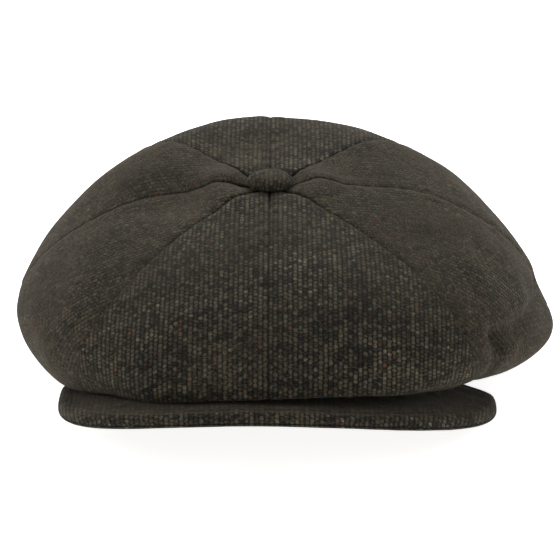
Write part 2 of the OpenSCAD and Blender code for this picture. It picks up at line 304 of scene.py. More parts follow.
def addMesh(name, points, faces, uv=None, attributes=None):
    # Smooth mesh from millimetres: co = points * mm, uv taken at each face's corners
    mesh = bpy.data.meshes.new(name)
    mesh.vertices.add(len(points))
    mesh.vertices.foreach_set("co", (points * mm).astype(np.float32).ravel())
    mesh.loops.add(faces.size)
    mesh.polygons.add(len(faces))
    mesh.loops.foreach_set("vertex_index", faces.ravel().astype(np.int32))
    mesh.polygons.foreach_set("loop_start", np.arange(0, faces.size, faces.shape[1], dtype=np.int32))
    mesh.update(calc_edges=True)
    mesh.validate()
    mesh.polygons.foreach_set("use_smooth", np.ones(len(mesh.polygons), bool))
    if uv is not None:
        layer = mesh.uv_layers.new(name="cloth")
        layer.data.foreach_set("uv", (uv[faces.ravel()] * mm).astype(np.float32).ravel())
    for key, values in (attributes or {}).items():
        layer = mesh.attributes.new(key, "FLOAT", "POINT")
        layer.data.foreach_set("value", values.astype(np.float32).ravel())
    thing = bpy.data.objects.new(name, mesh)
    bpy.context.scene.collection.objects.link(thing)
    return thing


def gridFaces(rows, cols, wrap=False):
    # Quads (a, d, c, b) over a grid whose rows run outwards and columns anticlockwise
    i, j = np.meshgrid(np.arange(rows - 1), np.arange(cols if wrap else cols - 1), indexing="ij")
    a = i * cols + j
    b = i * cols + (j + 1) % cols
    return np.stack([a, a + cols, b + cols, b], -1).reshape(-1, 4)


def sharpen(thing, rim):
    # Marks the edges that join two rim vertices as sharp
    mesh = thing.data
    pairs = np.zeros(len(mesh.edges) * 2, np.int32)
    mesh.edges.foreach_get("vertices", pairs)
    onRim = np.isin(pairs.reshape(-1, 2), rim).all(1)
    mark = mesh.attributes.get("sharp_edge") or mesh.attributes.new("sharp_edge", "BOOLEAN", "EDGE")
    mark.data.foreach_set("value", onRim)


def addShell(name, outer, inner, uv, attributes=None):
    # Two grids joined by a wall round their rim
    rows, cols = outer.shape[:2]
    n = rows * cols
    skin = gridFaces(rows, cols)
    rim = join([np.arange(cols - 1, 0, -1), np.arange(0, n - cols, cols),
            np.arange(n - cols, n - 1), np.arange(n - 1, cols - 1, -cols)])
    after = np.roll(rim, -1)
    wall = np.stack([rim, rim + n, after + n, after], -1)
    faces = join([skin, skin[:, ::-1] + n, wall[:, ::-1]])
    points = join([outer.reshape(-1, 3), inner.reshape(-1, 3)])
    both = {k: join([v.ravel(), v.ravel()]) for k, v in (attributes or {}).items()}
    thing = addMesh(name, points, faces, join([uv.reshape(-1, 2)] * 2), both)
    sharpen(thing, join([rim, rim + n]))
    return thing


view = {"elevation": 21.0, "distance": 1.2, "target": (0.002, -0.005, 0.0420), "lens": 155.8}


def makeCamera():
    # In front of the cap and tilted down at it: place = target + distance * (0, -cos, sin)
    camera = bpy.data.objects.new("camera", bpy.data.cameras.new("camera"))
    bpy.context.scene.collection.objects.link(camera)
    tilt = math.radians(view["elevation"])
    x, y, z = view["target"]
    camera.location = (x, y - view["distance"] * math.cos(tilt), z + view["distance"] * math.sin(tilt))
    camera.rotation_euler = (math.pi / 2 - tilt, 0, 0)
    camera.data.lens = view["lens"]
    camera.data.sensor_width = 36
    camera.data.clip_start = 0.05
    bpy.context.scene.camera = camera


light = {
    "sky": 0.42,
    "lamps": [  # place, size, watts and tint, each aimed at the cap
        ((0.1, 1.25, 1.15), 1.1, 28.0, (1.0, 0.98, 0.95)),
        ((-1.3, 0.2, 0.8), 0.9, 9.0, (1.0, 0.99, 0.98)),
        ((1.3, 0.1, 0.8), 0.9, 4.0, (1.0, 0.99, 0.98)),
        ((0.0, -1.5, 0.18), 0.7, 5.0, (1.0, 0.99, 0.98)),
    ],
}


def makeLights():
    # White sky and lamps, each turned by (atan2(level, drop), 0, atan2(y, x) - 90 degrees)
    bpy.context.scene.view_settings.view_transform = "Standard"
    world = bpy.data.worlds.new("studio")
    bpy.context.scene.world = world
    world.use_nodes = True
    sky = world.node_tree.nodes["Background"]
    sky.inputs["Color"].default_value = (1, 1, 1, 1)
    sky.inputs["Strength"].default_value = light["sky"]
    for i, (place, size, watts, tint) in enumerate(light["lamps"]):
        lamp = bpy.data.objects.new(f"lamp{i}", bpy.data.lights.new(f"lamp{i}", "AREA"))
        bpy.context.scene.collection.objects.link(lamp)
        lamp.data.size = size
        lamp.data.energy = watts
        lamp.data.color = tint
        lamp.location = place
        aim = np.array([0, 0, 0.05]) - np.array(place)
        lamp.rotation_euler = (math.atan2(math.hypot(aim[0], aim[1]), -aim[2]), 0,
                math.atan2(aim[1], aim[0]) - math.pi / 2)


class Value:
    # A socket that adds Math nodes when it is used in an expression
    def __init__(self, finish, socket):
        self.finish, self.socket = finish, socket

    def math(self, operation, *others):
        return self.finish.node("Math", {"operation": operation}, dict(enumerate((self, *others))))

    def __add__(self, other):
        return self.math("ADD", other)

    def __sub__(self, other):
        return self.math("SUBTRACT", other)

    def __mul__(self, other):
        return self.math("MULTIPLY", other)

    def __rsub__(self, other):
        return self * -1.0 + other

    __radd__ = __add__
    __rmul__ = __mul__


class Finish:
    # One material: a Principled shader with fixed values, and nodes made by one method
    def __init__(self, name, **fixed):
        self.material = bpy.data.materials.new(name)
        self.material.use_nodes = True
        self.tree = self.material.node_tree
        self.shader = self.tree.nodes["Principled BSDF"]
        for key, value in fixed.items():
            self.shader.inputs[key.replace("_", " ")].default_value = value

    def node(self, kind, settings=None, inputs=None, output=0):
        made = self.tree.nodes.new(f"ShaderNode{kind}")
        for key, value in (settings or {}).items():
            if key == "stops":
                ramp = made.color_ramp
                while len(ramp.elements) < len(value):
                    ramp.elements.new(0.5)
                for element, (place, colour) in zip(ramp.elements, value):
                    element.position, element.color = place, (*colour, 1)
            else:
                setattr(made, key, value)
        for key, value in (inputs or {}).items():
            if isinstance(value, Value):
                self.tree.links.new(value.socket, made.inputs[key])
            else:
                made.inputs[key].default_value = value
        return Value(self, made.outputs[output])

    def split(self, vector):
        parts = self.node("SeparateXYZ", {}, {0: vector})
        return parts, Value(self, parts.socket.node.outputs[1])

    def cloth(self):
        return self.node("UVMap", {"uv_map": "cloth"})

    def space(self):
        return self.node("TexCoord", output=3)

    def attribute(self, name):
        return self.node("Attribute", {"attribute_name": name}, output=2)

    def stretch(self, vector, x, y):
        return self.node("VectorMath", {"operation": "MULTIPLY"}, {0: vector, 1: (x, y, 1.0)})

    def bump(self, strength, distance, height):
        return self.node("Bump", {},
                {"Strength": strength, "Distance": distance, "Height": height})

    def ramp(self, factor, stops, how="LINEAR"):
        made = self.node("ValToRGB", {"stops": stops}, {0: factor})
        made.socket.node.color_ramp.interpolation = how
        return made

    def mix(self, factor, a, b, how="MIX"):
        colours = [(*c, 1) if isinstance(c, tuple) and len(c) == 3 else c for c in (a, b)]
        return self.node("Mix", {"data_type": "RGBA", "blend_type": how},
                {0: factor, 6: colours[0], 7: colours[1]}, output=2)

    def noise(self, vector, scale, detail=2.0, roughness=0.5, output=0):
        return self.node("TexNoise", {}, {"Vector": vector, "Scale": scale, "Detail": detail,
                "Roughness": roughness}, output=output)

    def vector(self, x=0.0, y=0.0, z=0.0):
        return self.node("CombineXYZ", {}, {0: x, 1: y, 2: z})

    def scatter(self, vector):  # one even random number for each whole-number cell
        return self.node("TexWhiteNoise", {"noise_dimensions": "3D"}, {"Vector": vector}, output=0)

    def feed(self, **sockets):
        for key, value in sockets.items():
            self.tree.links.new(value.socket, self.shader.inputs[key.replace("_", " ")])
        return self.material


tweedLook = {
    "across": 0.00225,  # metres from one column of nubs to the next
    "along": 0.00232, "wander": 0.2,
    "half": (0.50, 0.62),  # half widths of a nub across and along, in nubs
    "nub": [(0.0, (0.0085, 0.0087, 0.0082)), (0.28, (0.025, 0.0215, 0.0156)), (0.5, (0.069, 0.052, 0.034)),
        (0.7, (0.051, 0.050, 0.036)), (1.0, (0.197, 0.168, 0.115))],
    "between": (0.0045, 0.0052, 0.0052),
    "flecks": [(0.0, (0.085, 0.030, 0.012)), (0.35, (0.026, 0.032, 0.014)), (0.6, (0.022, 0.031, 0.037)),
        (0.85, (0.120, 0.106, 0.082))],
    "fleckFrom": 0.94, "wool": 1050.0, "strand": (520.0, 1300.0), "hair": (0.090, 0.074, 0.050),
    "patches": (34.0, 230.0), "tone": [(0.34, (0.58, 0.63, 0.69)), (0.78, (1.47, 1.46, 1.36))],
    "relief": 0.00055,
}


def tweed(name):
    # Upright columns of nubs, each column half a nub off its neighbours. A nub's height is
    # 1 - (across / a)^2 - (along / b)^2 and its colour follows one number for each nub and slow noise
    look = tweedLook
    f = Finish(name, Roughness=0.93, Sheen_Weight=0.08, Sheen_Roughness=0.4, Sheen_Tint=(1, 0.88, 0.70, 1),
            Specular_IOR_Level=0.10)
    uv = f.cloth()
    place = f.stretch(uv, 1 / look["across"], 1 / look["along"])
    stray = f.noise(place, 0.7, 3.0, 0.6, output=1)
    shift = f.node("VectorMath", {"operation": "MULTIPLY_ADD"},
            {0: stray, 1: (2 * look["wander"],) * 3, 2: place})
    u, v = f.split(shift)
    i = u.math("FLOOR")
    v = v + i.math("FLOORED_MODULO", 2.0) * 0.5
    j = v.math("FLOOR")
    x, y = u - i - 0.5, v - j - 0.5
    each = f.scatter(f.vector(i, j, 3.0))
    a, b = look["half"]
    height = (1.0 - x * x * (1 / a**2) - y * y * (1 / b**2)).math("MAXIMUM", 0.0) * (each * 0.55 + 0.45)
    nap = f.attribute("nap")  # 0 bare weave, 1 felted
    height = height * (1.0 - nap)
    alongColumn = f.noise(f.vector(i * 5.17, v * 0.35, 8.3), 1.0, 3.0, 0.65)
    space = f.space()
    wool = f.noise(space, look["wool"], 3.0, 0.7)
    mixed = alongColumn * 0.4 + each * (1.0 - nap) * 0.6 + wool * 1.7 + nap * 0.27 - 0.90
    colour = f.ramp(mixed, look["nub"])
    flecked = f.scatter(f.vector(i, j, 11.0)).math("GREATER_THAN", look["fleckFrom"]) * 0.5
    colour = f.mix(flecked, colour, f.ramp(f.scatter(f.vector(i, j, 23.0)), look["flecks"], "CONSTANT"))
    strand = f.noise(f.stretch(uv, *look["strand"]), 1.0, 3.0, 0.7)
    showing = f.ramp(height * 0.75 + strand * 0.8 + nap * 0.35 - 0.40, [(0.05, (0, 0, 0)), (0.52, (1, 1, 1))])
    colour = f.mix(showing, look["between"], colour)
    colour = f.mix((strand - 0.56).math("MAXIMUM", 0.0) * 3.4, colour, look["hair"])
    broad, small = (f.noise(space, scale, 3.0, rough) * 0.55
            for scale, rough in zip(look["patches"], (0.6, 0.65)))
    colour = f.mix(1.0, colour, f.ramp(broad + small, look["tone"]), "MULTIPLY")
    # Painted shade: near black along the seams and, on the visor, painted shadow under the crown's front plus a
    # dark edge seam
    colour = f.mix(f.attribute("seamShade") * 0.6, colour, (0.003, 0.003, 0.003))
    bump = f.bump(0.95, look["relief"], height * 0.6 + wool * 0.9 + strand * 0.6)
    return f.feed(Base_Color=colour, Normal=bump)


def satin(name):
    # Fine ribs along the cloth with a soft sheen and slow tone
    f = Finish(name, Roughness=0.42, Sheen_Weight=0.25, Sheen_Roughness=0.35, Specular_IOR_Level=0.4)
    across = f.split(f.cloth())[0]
    rib = (across * (2 * math.pi / 0.00045)).math("SINE") * 0.5 + 0.5
    tone = f.noise(f.space(), 60.0, 3.0)
    colour = f.ramp(tone * 0.7 + rib * 0.25, [(0.2, (0.022, 0.020, 0.021)), (0.8, (0.052, 0.047, 0.047))])
    return f.feed(Base_Color=colour, Normal=f.bump(0.35, 0.0002, rib + tone * 2.0))


def twill(name, low, high, pitch=0.0008):
    # Diagonal ribs: sine of (u + v), broken up by noise
    f = Finish(name, Roughness=0.8, Sheen_Weight=0.3, Sheen_Roughness=0.5)
    u, v = f.split(f.cloth())
    rib = ((u + v) * (2 * math.pi / pitch)).math("SINE") * 0.5 + 0.5
    fuzz = f.noise(f.space(), 900.0, 4.0, 0.65)
    colour = f.ramp(rib * 0.55 + fuzz * 0.5, [(0.15, low), (0.85, high)])
    return f.feed(Base_Color=colour, Normal=f.bump(0.6, 0.0002, rib + fuzz * 0.5))


def canvas(name):
    # Coarse plain weave of pale threads: product of two sines
    f = Finish(name, Roughness=0.9)
    u, v = f.split(f.cloth())
    wave = math.pi / 0.0006
    weave = (u * wave).math("SINE") * (v * wave).math("SINE") * 0.5 + 0.5
    slub = f.noise(f.space(), 500.0, 3.0)
    colour = f.ramp(weave * 0.5 + slub * 0.5, [(0.2, (0.40, 0.35, 0.27)), (0.8, (0.66, 0.60, 0.49))])
    return f.feed(Base_Color=colour, Normal=f.bump(0.5, 0.0002, weave + slub * 0.4))


def thread(name):
    # Spun thread: fine noise over a dark brown
    f = Finish(name, Roughness=0.7)
    twist = f.noise(f.space(), 4000.0, 2.0)
    colour = f.ramp(twist, [(0.3, (0.030, 0.026, 0.023)), (0.7, (0.085, 0.075, 0.066))])
    return f.feed(Base_Color=colour)


def hairFinish(name):
    # Loose wool fibres, each one tone between charcoal, brown and pale
    f = Finish(name, Roughness=0.6, Sheen_Weight=0.2)
    colour = f.ramp(f.attribute("tone"), [(0.0, (0.030, 0.025, 0.020)), (0.5, (0.085, 0.066, 0.048)),
            (0.85, (0.16, 0.14, 0.11)), (1.0, (0.30, 0.28, 0.24))])
    return f.feed(Base_Color=colour)


def metal(name):
    # Pressed steel: fine scratches in the roughness
    f = Finish(name, Metallic=1.0)
    scratch = f.noise(f.space(), 2600.0, 5.0, 0.7)
    colour = f.ramp(scratch, [(0.3, (0.48, 0.47, 0.45)), (0.7, (0.66, 0.65, 0.62))])
    return f.feed(Base_Color=colour, Roughness=scratch * 0.35 + 0.2, Normal=f.bump(0.15, 0.0001, scratch))


def boardFinish(name):
    # Dark moulded board with a pebbled face
    f = Finish(name)
    pebble = f.noise(f.space(), 1500.0, 3.0)
    colour = f.ramp(pebble, [(0.3, (0.05, 0.05, 0.05)), (0.7, (0.10, 0.10, 0.10))])
    return f.feed(Base_Color=colour, Roughness=pebble * 0.3 + 0.45, Normal=f.bump(0.4, 0.0002, pebble))


def floorFinish(name):
    # White acrylic lit from below
    return Finish(name, Base_Color=(0.9, 0.9, 0.895, 1), Roughness=0.9, Specular_IOR_Level=0.1,
            Emission_Color=(1, 0.995, 0.985, 1), Emission_Strength=0.85).material


def wear(thing, finish, body="root", hides=()):
    # Gives a piece its material, hides the CAD nodes it stands for and puts it under its body; "bend" pieces only
    # have their place baked into their points
    thing.data.materials.append(finish)
    if hides:
        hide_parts(*hides)
    if body == "bend":
        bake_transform(thing)
    else:
        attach(thing, body)
    return thing


sheets = {"wavy": 1.06, "least": 0.32}  # the cloth's area over its face's, and its least share of its flat box


def flatArea(area, wide, high):
    # The area kept between a share of the flat box and all of it
    return min(max(area, sheets["least"] * wide * high), wide * high)


def cloth(outer, uv):
    # Works out a sheet's flat box from the unrolled cloth and its flat area from the outer face, and keeps neither
    size = (np.ptp(uv.reshape(-1, 2), axis=0) + 2 * seam["allowance"]) * mm
    a, b = np.diff(outer[:, :-1], axis=0), np.diff(outer[:-1], axis=1)
    area = float(np.linalg.norm(np.cross(a, b), axis=-1).sum()) * mm * mm
    area = flatArea(area * sheets["wavy"], size[0], size[1])


hairSpots = []  # outer grids of cloth that fibres stand on: points, normals, body


def crownSteps():
    # The first ring leaves the hole open: asin(hole / reach), as a share of a right angle
    top, fold, back = crown["rows"]
    first = math.asin(crown["hole"] / crown["reach"]) / (np.pi / 2)
    return join([linspace(first, 1, top), 1 + np.arange(1, fold + 1) / fold,
            2 + np.arange(1, back + 1) / back])[:, None]


def goreCloth(angle, points, centre):
    # Unrolled gore: across = radius * angle from the centreline, along = length down the cloth
    radius = fromAxis(points)
    length = np.linalg.norm(np.diff(points, axis=0, prepend=points[:1]), axis=-1).cumsum(0) + crown["hole"]
    return np.stack([radius * (angle - centre), length], -1), length


def weaveCloth(angle, points, length, centre):
    # Threads run straight along the seam of a pair of panels over the top, and level round its wall:
    # across = radius * (sine, becoming the angle), along = length * (cosine, becoming 1)
    radius = fromAxis(points)
    off = angle - centre
    wall = np.clip((length / radius - 1) / 0.3, 0, 1)
    across = radius * (np.sin(off) + (off - np.sin(off)) * wall)
    return np.stack([across, length * (np.cos(off) * (1 - wall) + wall)], -1)


def makePanel(k, name, finish):
    # One eighth of the crown: surface + normal * relief + level push, and the same less its thickness
    angle = linspace(k, k + 1, crown["columns"] + 1)[None, :] * np.pi / 4
    steps = crownSteps()
    smooth = crownSurface(angle, steps, puffed=False)
    flat, length = goreCloth(angle, smooth, (k + 0.5) * np.pi / 4)
    uv = weaveCloth(angle, smooth, length, (k + 1) // 2 * np.pi / 2)
    normal = surfaceNormal(angle, steps)
    level = np.stack([np.sin(angle), -np.cos(angle), 0 * angle], -1)
    outer = crownSurface(angle, steps) + normal * clothRelief(angle, smooth, length)[..., None]
    outer = outer + level * sidePush(angle, steps, smooth)[..., None]
    rise = crown["ceilingSlope"] * np.maximum(fromAxis(outer) - crown["clearOf"], 0)
    ceiling = buttonLow[2] - crown["under"] + rise
    outer[..., 2] = np.minimum(outer[..., 2], ceiling)  # stays below the button
    inner = outer - normal * crown["cloth"]
    radius = fromAxis(smooth)
    side = radius * np.abs(np.mod(angle + np.pi / 8, np.pi / 4) - np.pi / 8)
    # Painted: a dark line along each seam, partly the seam's own dark join and partly painted shade in its groove
    shade = np.exp(-((side / seam["lineWidth"]) ** 2)) * seamKept(angle, radius)
    nap = felted["fore"] if k in (0, 3, 4, 7) else felted["side"]
    nap = nap + felted["vary"] * softWaves(smooth, felted["wavelength"], felted["seed"])
    panel = addShell(name, outer, inner, uv, {"seamShade": shade, "nap": np.clip(nap, 0, 1)})
    wear(panel, finish, "bend", [name])
    cloth(outer, flat)
    shown = slice(0, -crown["rows"][2])
    hairSpots.append((outer[shown], normal[shown], "bend"))


def makeCrown(finish):
    names = ["panel_front_right", "panel_side_front_right", "panel_side_rear_right", "panel_rear_right",
            "panel_rear_left", "panel_side_rear_left", "panel_side_front_left", "panel_front_left"]
    for k, name in enumerate(names):
        makePanel(k, name, finish)
    print("crown panels made")


strip = {
    "columns": 360, "side": 46, "bend": 7, "clear": 0.8, "fade": 10.0,
    "hem": (0.02, 0.012, 0.010),  # metres added to the flat length and height, and to the face's height
}

bands = {
    "outer_band": {"thickness": 1.5, "lift": 0.0, "belowTop": 0.15},
    "band_stiffener": {"thickness": 1.0, "lift": 3.6, "belowTop": 1.0},
    "sweatband": {"thickness": 1.2, "lift": 0.6, "belowTop": 0.2},
}


def stripProfile(thickness):
    # Closed loop round a strip's section: down the outer face, round the foot, up the inner face and
    # over the top. depth is 0 at the outer face and 1 at the inner, height 0 at the foot and 1 at the
    # top, and drop is what the rounding adds below the foot or above the top
    n, b = strip["side"], strip["bend"]
    turn = linspace(0, np.pi, b + 2)[1:-1]
    down, up = linspace(1, 0, n), linspace(0, 1, n)
    depth = join([np.zeros(n), (1 - np.cos(turn)) / 2, np.ones(n), (1 + np.cos(turn)) / 2])
    height = join([down, np.zeros(b), up, np.ones(b)])
    drop = join([np.zeros(n), -np.sin(turn), np.zeros(n), np.sin(turn)]) * thickness / 2
    return depth[:, None], height[:, None], drop[:, None]


def footRoom(x, y, lift):
    # Height that clears the visor's seam ahead of the hinge, and 0 behind it
    under = np.maximum(visorTop(x, y) - visor["thickness"] + strip["clear"] + lift, 0)
    return np.where(y < visor["hingeY"], under * np.clip((visor["hingeY"] - y) / strip["fade"], 0, 1), 0)


def makeStrip(name, finish):
    # Oval strip swept round the head opening: z = foot + (top - foot) * height + drop
    look = bands[name]
    thickness, lift = look["thickness"], look["lift"]
    half = halfSizes(name)
    angle = linspace(0, 2 * np.pi, strip["columns"], endpoint=False)[None, :]
    depth, height, drop = stripProfile(thickness)
    across = 1 - depth * thickness / half.mean()
    x, y = half[0] * np.sin(angle) * across, -half[1] * np.cos(angle) * across
    foot = footRoom(x, y, lift) + lift + thickness / 2
    top = bandTop(y) - look["belowTop"] - thickness / 2
    z = foot + (top - foot) * height + drop
    points = np.stack([x, y, z], -1)
    arc = join([[0], np.cumsum(np.linalg.norm(np.diff(points[0], axis=0), axis=-1))])
    loop = join([[0], np.cumsum(np.hypot(np.diff(z[:, 0]), np.diff(depth[:, 0]) * thickness))])
    uv = np.stack(np.broadcast_arrays(arc[None, :], -loop[:, None]), -1)
    thing = sweepMesh(name, points, uv, arc[-1] + arc[1], loop[-1] + thickness * 0.3)
    wear(thing, finish, "bend", [name])
    hem = strip["hem"]
    wide, high = arc[-1] * mm + hem[0], float(np.ptp(z)) * mm + hem[1]
    area = flatArea(wide * (float(np.mean(top - foot)) * mm + hem[2]), wide, high)


def sweepMesh(name, points, uv, girth, loop):
    # Grid closed both ways; its UVs are laid per corner so that the last row and column don't run back
    rows, cols = points.shape[:2]
    i, j = np.meshgrid(np.arange(rows), np.arange(cols), indexing="ij")
    i2, j2 = (i + 1) % rows, (j + 1) % cols
    faces = np.stack([i * cols + j, i2 * cols + j, i2 * cols + j2, i * cols + j2], -1).reshape(-1, 4)
    thing = addMesh(name, points.reshape(-1, 3), faces)
    u = np.append(uv[0, :, 0], girth)
    v = np.append(uv[:, 0, 1], -loop)
    corner = np.stack([np.stack([u[j], v[i]], -1), np.stack([u[j], v[i + 1]], -1),
            np.stack([u[j + 1], v[i + 1]], -1), np.stack([u[j + 1], v[i]], -1)], 2)
    layer = thing.data.uv_layers.new(name="cloth")
    layer.data.foreach_set("uv", (corner * mm).astype(np.float32).ravel())
    return thing


stitch = {"pitch": 4.2, "long": 3.0, "thick": 0.42, "above": 2.6}


def beads(name, centres, along, across, out, half, finish, body):
    # One small ellipsoid for each centre, on its own three axes
    v, u = np.meshgrid(linspace(0, np.pi, 7), linspace(0, 2 * np.pi, 8, endpoint=False), indexing="ij")
    ball = np.stack([np.cos(v) * half[0], np.sin(v) * np.cos(u) * half[1], np.sin(v) * np.sin(u) * half[2]], -1)
    ball = ball[1:-1].reshape(-1, 3)
    ball = join([ball, [[half[0], 0, 0], [-half[0], 0, 0]]])
    axes = np.stack([along, across, out], 1)
    points = centres[:, None, :] + ball[None] @ axes
    sides = gridFaces(5, 8, wrap=True)
    ring = np.arange(8)
    tip = np.stack([np.full(8, 40), ring, (ring + 1) % 8], -1)
    tail = np.stack([np.full(8, 41), 32 + (ring + 1) % 8, 32 + ring], -1)
    triangles = join([sides[:, [0, 1, 2]], sides[:, [0, 2, 3]], tip, tail])
    faces = (triangles[None] + (np.arange(len(centres)) * len(ball))[:, None, None]).reshape(-1, 3)
    thing = addMesh(name, points.reshape(-1, 3), faces)
    return wear(thing, finish, body)


def makeSweatStitches(finish):
    # Running stitches round the foot of the sweatband, on its inner face
    look = bands["sweatband"]
    half = halfSizes("sweatband") - look["thickness"] - 0.02
    girth = math.pi * (half[0] + half[1])
    angle = np.arange(0, 2 * np.pi, 2 * np.pi / round(girth / stitch["pitch"]))
    x, y = half[0] * np.sin(angle), -half[1] * np.cos(angle)
    z = footRoom(x, y, look["lift"]) + look["lift"] + stitch["above"]
    along = np.stack([half[0] * np.cos(angle), half[1] * np.sin(angle), 0 * angle], -1)
    along /= np.linalg.norm(along, axis=-1, keepdims=True)
    up = np.broadcast_to([0.0, 0.0, 1.0], along.shape)
    beads("sweatband_stitches", np.stack([x, y, z], -1), along, up, np.cross(along, up),
          (stitch["long"] / 2, stitch["thick"] / 2, stitch["thick"] / 2), finish, "bend")


lining = {
    "bulge": 7.0, "room": 3.0, "foot": 0.15, "cloth": 0.8, "start": 0.04, "rows": 110,
    "columns": 110,
    "wrinkle": (0.8, 38, 17),  # height, wavelength, seed
    "crinkle": (0.18, 14, 5), "gathers": 34, "gatherWander": (2.2, 60, 31), "gatherFrom": 0.55,
    "gatherDepth": 1.3, "outMost": 0.9, "seam": 0.7,
}


def liningPoint(angle, step, inset):
    # Dome from the apex to the top of the sweatband that billows outwards between them
    root = ovalReach(angle, sweatHalf - inset)
    lowZ = bandTop(apex[1] - root * np.cos(angle)) + lining["foot"]
    u = np.sin(step * np.pi / 2)
    out = u ** (around(crown["fullness"], angle) / 2)
    up = np.sqrt(np.clip(1 - out * out, 0, 1))
    r = root * u + 2 * lining["bulge"] * out * up
    z = lowZ + (crown["top"] - crown["dip"] - crown["cloth"] - lining["room"] - inset - lowZ) * up
    return np.stack([apex[0] + r * np.sin(angle), apex[1] - r * np.cos(angle), z], -1)


def liningSag(angle, step, points):
    # Inward push: long radial wrinkles that gather at the sweatband, slow waves and the quarter seams
    radius = fromAxis(points)
    side = radius * np.abs(np.mod(angle + np.pi / 4, np.pi / 2) - np.pi / 4)
    wander, length, seed = lining["gatherWander"]
    gather = np.sin(lining["gathers"] * angle + wander * softWaves(points, length, seed))
    gather = gather * np.clip(step - lining["gatherFrom"], 0, 1) ** 1.3
    edge = np.clip(step / 0.12, 0, 1) * np.clip((1 - step) / 0.05, 0, 1)
    high, length, seed = lining["wrinkle"]
    waves = softWaves(points, length, seed) * high
    high, length, seed = lining["crinkle"]
    waves = waves + softWaves(points * [1, 1, 0.4], length, seed) * high
    return (waves + gather * lining["gatherDepth"]) * edge - lining["seam"] * np.exp(-(side**2)) * edge


def makeLining(finish):
    # Four quarters of the dome, each face = dome - normal * sag
    steps = linspace(lining["start"], 1, lining["rows"])[:, None]
    for k, name in enumerate(["lining_front_right", "lining_rear_right", "lining_rear_left", "lining_front_left"]):
        angle = linspace(k, k + 1, lining["columns"])[None, :] * np.pi / 2
        base = liningPoint(angle, steps, 0.0)
        normal = gridNormal(base)
        outer = base - normal * np.maximum(liningSag(angle, steps, base), -lining["outMost"])[..., None]
        inner = outer - normal * lining["cloth"]
        uv = goreCloth(angle, base, (k + 0.5) * np.pi / 2)[0]
        gore = addShell(name, outer, inner, uv)
        wear(gore, finish, "bend", [name])
        cloth(outer, uv)


def gridNormal(points):
    # Cross product of the grid's own differences, pointing out of the cap
    n = np.cross(np.gradient(points, axis=0), np.gradient(points, axis=1))
    return n / np.maximum(np.linalg.norm(n, axis=-1, keepdims=True), 1e-9)


label = {
    "half": 22.0, "steps": (0.31, 0.47), "rows": 26, "columns": 50, "thickness": 0.6, "room": 2.1,
    "wave": (0.25, 22, 3),  # height, wavelength, seed
}


def makeLabel(finish):
    # Blank patch under the lining, behind the button: angle = half width / radius, so its sides are parallel
    steps = linspace(*label["steps"], label["rows"])[:, None]
    middle = liningPoint(np.pi + 0 * steps, steps, 0.0)
    spread = label["half"] / fromAxis(middle)
    angle = np.pi + linspace(-1, 1, label["columns"])[None, :] * spread
    outer = liningPoint(angle, steps, lining["cloth"] + label["room"])
    normal = gridNormal(outer)
    high, length, seed = label["wave"]
    outer = outer - normal * (high * softWaves(outer, length, seed))[..., None]
    uv = goreCloth(angle, outer, np.pi)[0]
    patch = addShell("lining_label", outer, outer - normal * label["thickness"], uv)
    wear(patch, finish, "root", ["lining_label"])
    cloth(outer, uv)


def makeSizeTab(finish):
    # Blank folded tab on the back of the sweatband: y = high - half * sin(pi * v) - x^2 / 180
    low, high = boxOf("size_tab")
    u, v = np.meshgrid(linspace(0, 1, 30), linspace(1, 0, 20))
    x, z = low[0] + (high[0] - low[0]) * u, low[2] + (high[2] - low[2]) * v
    y = high[1] - 0.5 * np.sin(np.pi * v) - x * x / 180 + 0 * u
    face = np.stack([x, y, z], -1)
    inner = face - [0, high[1] - low[1], 0]
    tab = addShell("size_tab", face, inner, np.stack([x, z], -1))
    wear(tab, finish, "root", ["size_tab"])
    cloth(face, np.stack([x, z], -1))


def visorOutline(count):
    # From the right horn's tip round the front to the left horn's tip, in equal steps of length: a
    # superellipse in front of the widest line and half an ellipse behind it, ending on the band
    front, back = visor["front"] + visor["backY"], visor["horn"]
    edge = visor["bandGap"] + bandHalf
    rear = linspace(0, np.pi / 2, visor["fineRear"])
    parts = []
    for key, sign in (("right", 1), ("left", -1)):
        half, square = visor[key], visor[key + "Square"]
        x, y = half * np.cos(rear), visor["backY"] + back * np.sin(rear)
        keep = (x / edge[0]) ** 2 + (y / edge[1]) ** 2 > 1.0
        a = linspace(np.pi / 2, 0, visor["fineFront"])
        x = join([x[keep][::-1], half * np.sin(a) ** (2 / square)])
        y = join([y[keep][::-1], visor["backY"] - front * np.cos(a) ** (2 / square)])
        parts.append(np.stack([sign * x, y], -1)[::sign])
    line = join([parts[0], parts[1][1:]])
    far = join([[0], np.cumsum(np.linalg.norm(np.diff(line, axis=0), axis=-1))])
    even = linspace(0, far[-1], count)
    return np.stack([np.interp(even, far, line[:, i]) for i in (0, 1)], -1)


def visorGrid():
    # Inner points on the band's oval, outer points on the outline, for the same share of their lengths
    outline = visorOutline(visor["columns"])
    edge = visor["bandGap"] + bandHalf
    tip = math.atan2(outline[0, 0] / edge[0], -outline[0, 1] / edge[1])
    angle = linspace(tip, -tip, visor["fineBand"])
    arc = np.stack([edge[0] * np.sin(angle), -edge[1] * np.cos(angle)], -1)
    far = join([[0], np.cumsum(np.linalg.norm(np.diff(arc, axis=0), axis=-1))])
    even = linspace(0, far[-1], visor["columns"])
    inner = np.stack([np.interp(even, far, arc[:, i]) for i in (0, 1)], -1)
    width = np.linalg.norm(outline - inner, axis=-1)
    tangent = np.gradient(outline, axis=0)
    out = np.stack([tangent[:, 1], -tangent[:, 0]], -1)
    out /= np.linalg.norm(out, axis=-1, keepdims=True)
    out *= np.sign((out * (outline - [0, visor["backY"] / 2])).sum(-1, keepdims=True))
    return inner, outline, np.maximum(width, 0.01), out


